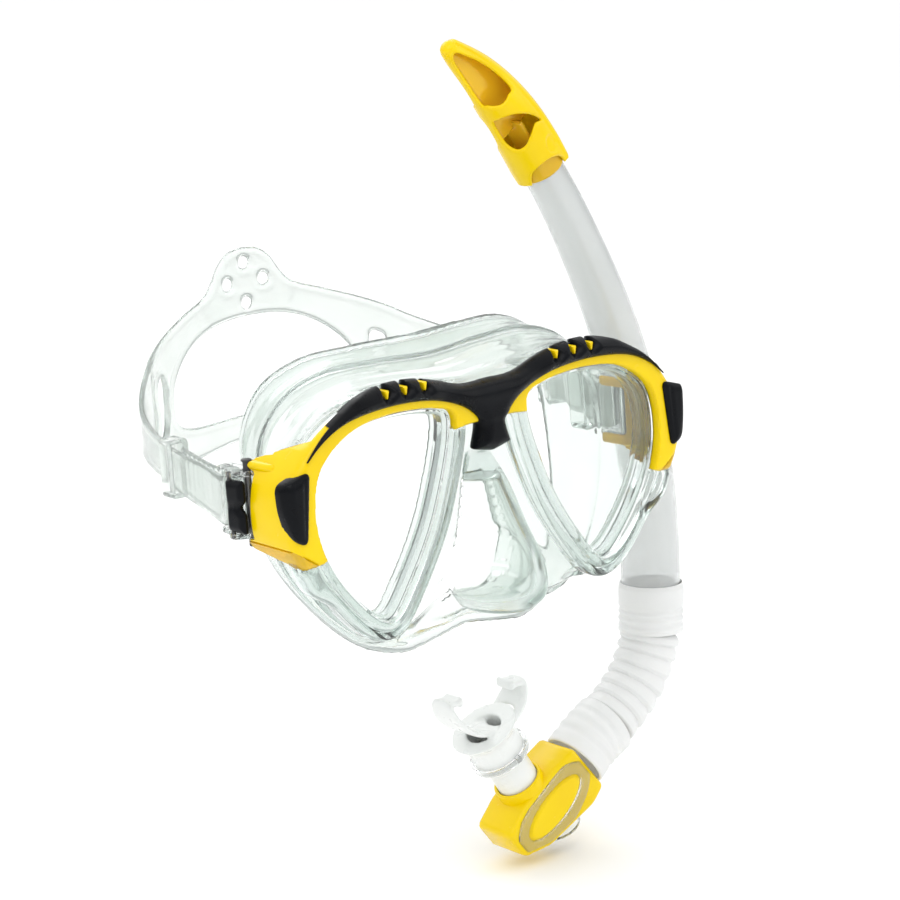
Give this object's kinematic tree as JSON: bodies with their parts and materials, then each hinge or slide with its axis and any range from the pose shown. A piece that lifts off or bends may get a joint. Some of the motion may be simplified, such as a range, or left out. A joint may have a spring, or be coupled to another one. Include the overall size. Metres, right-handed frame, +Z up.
{
  "type": "snorkelling mask with clip-on snorkel",
  "caption": "Low-volume twin-lens snorkelling mask with clear skirt, split head strap and swivel buckles, and a curved snorkel clipped to the strap.",
  "frame": {"origin": "centre of the face seal, on the plane where the skirt rests on the face", "axes": "+X to the wearer's left, +Y back towards the wearer's head, +Z up; the lenses face -Y"},
  "size_m": [0.2219, 0.162, 0.3119],
  "materials": {
    "glass": "polished tempered glass",
    "clear_plastic": "clear moulded plastic, glossy",
    "silicone": "clear moulded silicone, satin",
    "frosted_silicone": "milky silicone, satin",
    "yellow_plastic": "glossy yellow moulded plastic",
    "black_rubber": "black soft-touch moulding",
    "amber_plastic": "translucent amber plastic",
    "dark_pin": "dark pin"
  },
  "bodies": {
    "mask": {"yellow_frame": "yellow_plastic", "brow_cover": "black_rubber", "lens_ring_left": "clear_plastic", "lens_ring_right": "clear_plastic", "lens_left": "glass", "lens_right": "glass", "side_pad_left": "black_rubber", "side_pad_right": "black_rubber", "skirt": "silicone", "strap_band": "silicone", "buckle_pin_left": "dark_pin", "buckle_pin_right": "dark_pin", "tail_keeper_left": "silicone", "tail_keeper_right": "silicone"},
    "buckle_left": {"buckle_left": "clear_plastic", "lever_pin_left": "dark_pin", "strap_end_left": "silicone"},
    "roller_left": {"strap_roller_left": "clear_plastic"},
    "lever_left": {"release_lever_left": "black_rubber"},
    "buckle_right": {"buckle_right": "clear_plastic", "lever_pin_right": "dark_pin", "strap_end_right": "silicone"},
    "roller_right": {"strap_roller_right": "clear_plastic"},
    "lever_right": {"release_lever_right": "black_rubber"},
    "strap_clip": {"keeper_strap_clip": "silicone", "keeper_pin": "clear_plastic"},
    "tube_ring": {"keeper_tube_ring": "silicone"},
    "barrel": {"snorkel_tube": "clear_plastic", "top_guard": "yellow_plastic", "splash_deflector": "amber_plastic", "upper_cuff": "frosted_silicone", "flex_hose": "frosted_silicone"},
    "mouth_unit": {"lower_cuff": "frosted_silicone", "mouth_housing": "yellow_plastic", "spigot": "clear_plastic", "purge_cover": "clear_plastic"},
    "valve": {"purge_valve": "silicone"},
    "bite": {"mouthpiece": "silicone", "mouthpiece_band": "clear_plastic"}
  },
  "joints": [
    {"name": "buckle_swivel_left", "type": "hinge", "parent": "mask", "child": "buckle_left", "pos_m": [0.086, -0.021, 0.008], "axis": [0, 0, 1], "range_deg": [-8, 8], "deforming": ["strap_end_left"]},
    {"name": "roller_spin_left", "type": "hinge", "parent": "buckle_left", "child": "roller_left", "pos_m": [0.086, -0.0095, 0.008], "axis": [0, 0, 1], "continuous": true},
    {"name": "lever_press_left", "type": "hinge", "parent": "buckle_left", "child": "lever_left", "pos_m": [0.0918, -0.0184, 0.008], "axis": [0, 0, 1], "range_deg": [0, 6], "stiffness_Nm_per_rad": 0.05, "springref_deg": -2.86},
    {"name": "buckle_swivel_right", "type": "hinge", "parent": "mask", "child": "buckle_right", "pos_m": [-0.086, -0.021, 0.008], "axis": [0, 0, -1], "range_deg": [-8, 8], "deforming": ["strap_end_right"]},
    {"name": "roller_spin_right", "type": "hinge", "parent": "buckle_right", "child": "roller_right", "pos_m": [-0.086, -0.0095, 0.008], "axis": [0, 0, -1], "continuous": true},
    {"name": "lever_press_right", "type": "hinge", "parent": "buckle_right", "child": "lever_right", "pos_m": [-0.0918, -0.0184, 0.008], "axis": [0, 0, -1], "range_deg": [0, 6], "stiffness_Nm_per_rad": 0.05, "springref_deg": -2.86},
    {"name": "keeper_slide", "type": "slide", "parent": "buckle_left", "child": "strap_clip", "axis": [0, 1, 0], "range_m": [-0.003, 0.004]},
    {"name": "snorkel_tilt", "type": "hinge", "parent": "strap_clip", "child": "tube_ring", "pos_m": [0.0946, 0.002, 0.008], "axis": [1, 0, 0], "range_deg": [-25, 25]},
    {"name": "snorkel_turn", "type": "hinge", "parent": "tube_ring", "child": "barrel", "pos_m": [0.11002, 0.002, 0.00838], "axis": [0.2322, 0, -0.9727], "range_deg": [-30, 30]},
    {"name": "hose_bend", "type": "hinge", "parent": "barrel", "child": "mouth_unit", "pos_m": [0.107, 0.002, -0.104], "axis": [0, 1, 0], "range_deg": [-20, 8], "stiffness_Nm_per_rad": 0.1, "deforming": ["flex_hose"]},
    {"name": "mouthpiece_swivel", "type": "hinge", "parent": "mouth_unit", "child": "bite", "pos_m": [0.0314, 0.002, -0.1164], "axis": [-0.5101, 0, 0.8601], "range_deg": [-35, 35]},
    {"name": "purge_lift", "type": "slide", "parent": "mouth_unit", "child": "valve", "axis": [0.4153, 0, -0.9097], "range_m": [0, 0.0015], "stiffness_N_per_m": 20, "springref_m": -0.001}
  ]
}
